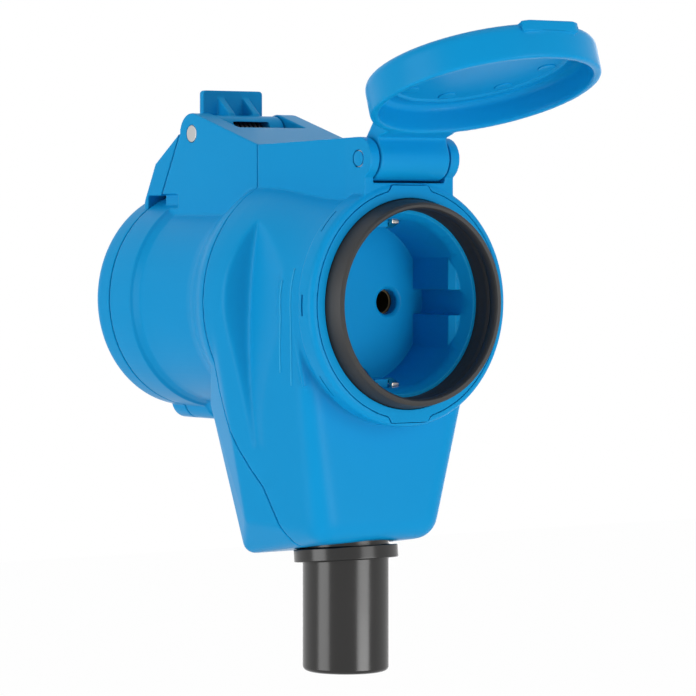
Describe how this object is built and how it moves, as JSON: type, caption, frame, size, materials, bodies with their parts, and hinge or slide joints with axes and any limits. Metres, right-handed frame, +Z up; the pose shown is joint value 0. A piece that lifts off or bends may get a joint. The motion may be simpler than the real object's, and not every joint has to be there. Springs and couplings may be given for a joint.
{
  "type": "angled pin and sleeve coupler",
  "caption": "Angled blue coupler with a sprung-lid pin and sleeve collar at the rear, an earthed socket under an open hinged lid at the front and a rubber cable sleeve below",
  "frame": {"origin": "centre of the coupler collar's mouth", "axes": "+Y points out of the coupler collar, -Y out of the socket, +Z is up, towards the hinges"},
  "size_m": [0.0622, 0.1473, 0.1515],
  "materials": {
    "blue_plastic": "moulded, satin sheen",
    "black_rubber": "smooth black rubber",
    "pale_plastic": "moulded, matte",
    "brass": "turned",
    "nickel": "bright nickel plate",
    "steel": "plain steel",
    "spring_steel": "dark drawn wire"
  },
  "bodies": {
    "coupler": {"front_housing": "blue_plastic", "rear_housing": "blue_plastic", "coupler_collar": "blue_plastic", "housing_screws": "steel", "socket_insert": "blue_plastic", "socket_seal": "black_rubber", "socket_contact_left": "brass", "socket_contact_right": "brass", "earth_clip": "nickel", "socket_lid_pin": "steel", "socket_lid_spring": "spring_steel", "contact_carrier": "pale_plastic", "live_sleeve": "pale_plastic", "neutral_sleeve": "pale_plastic", "earth_sleeve": "pale_plastic", "live_contact": "brass", "neutral_contact": "brass", "earth_contact": "brass", "terminal_screws": "steel", "live_link": "brass", "neutral_link": "brass", "earth_link": "brass", "collar_lid_pin": "steel", "collar_lid_spring": "spring_steel", "cable_sleeve": "black_rubber", "cord_clamp": "pale_plastic", "cord_clamp_screws": "steel"},
    "socket_lid": {"socket_lid": "blue_plastic"},
    "collar_lid": {"collar_lid": "blue_plastic", "collar_lid_seal": "black_rubber"}
  },
  "joints": [
    {"name": "socket_lid_hinge", "type": "hinge", "parent": "coupler", "child": "socket_lid", "pos_m": [0, -0.083, 0.0336], "axis": [1, 0, 0], "range_deg": [0, 108], "deforming": ["socket_lid_spring"]},
    {"name": "collar_lid_hinge", "type": "hinge", "parent": "coupler", "child": "collar_lid", "pos_m": [0, -0.0185, 0.0404], "axis": [1, 0, 0], "range_deg": [0, 95], "stiffness_Nm_per_rad": 0.04, "springref_deg": -28.65, "deforming": ["collar_lid_spring"]}
  ]
}
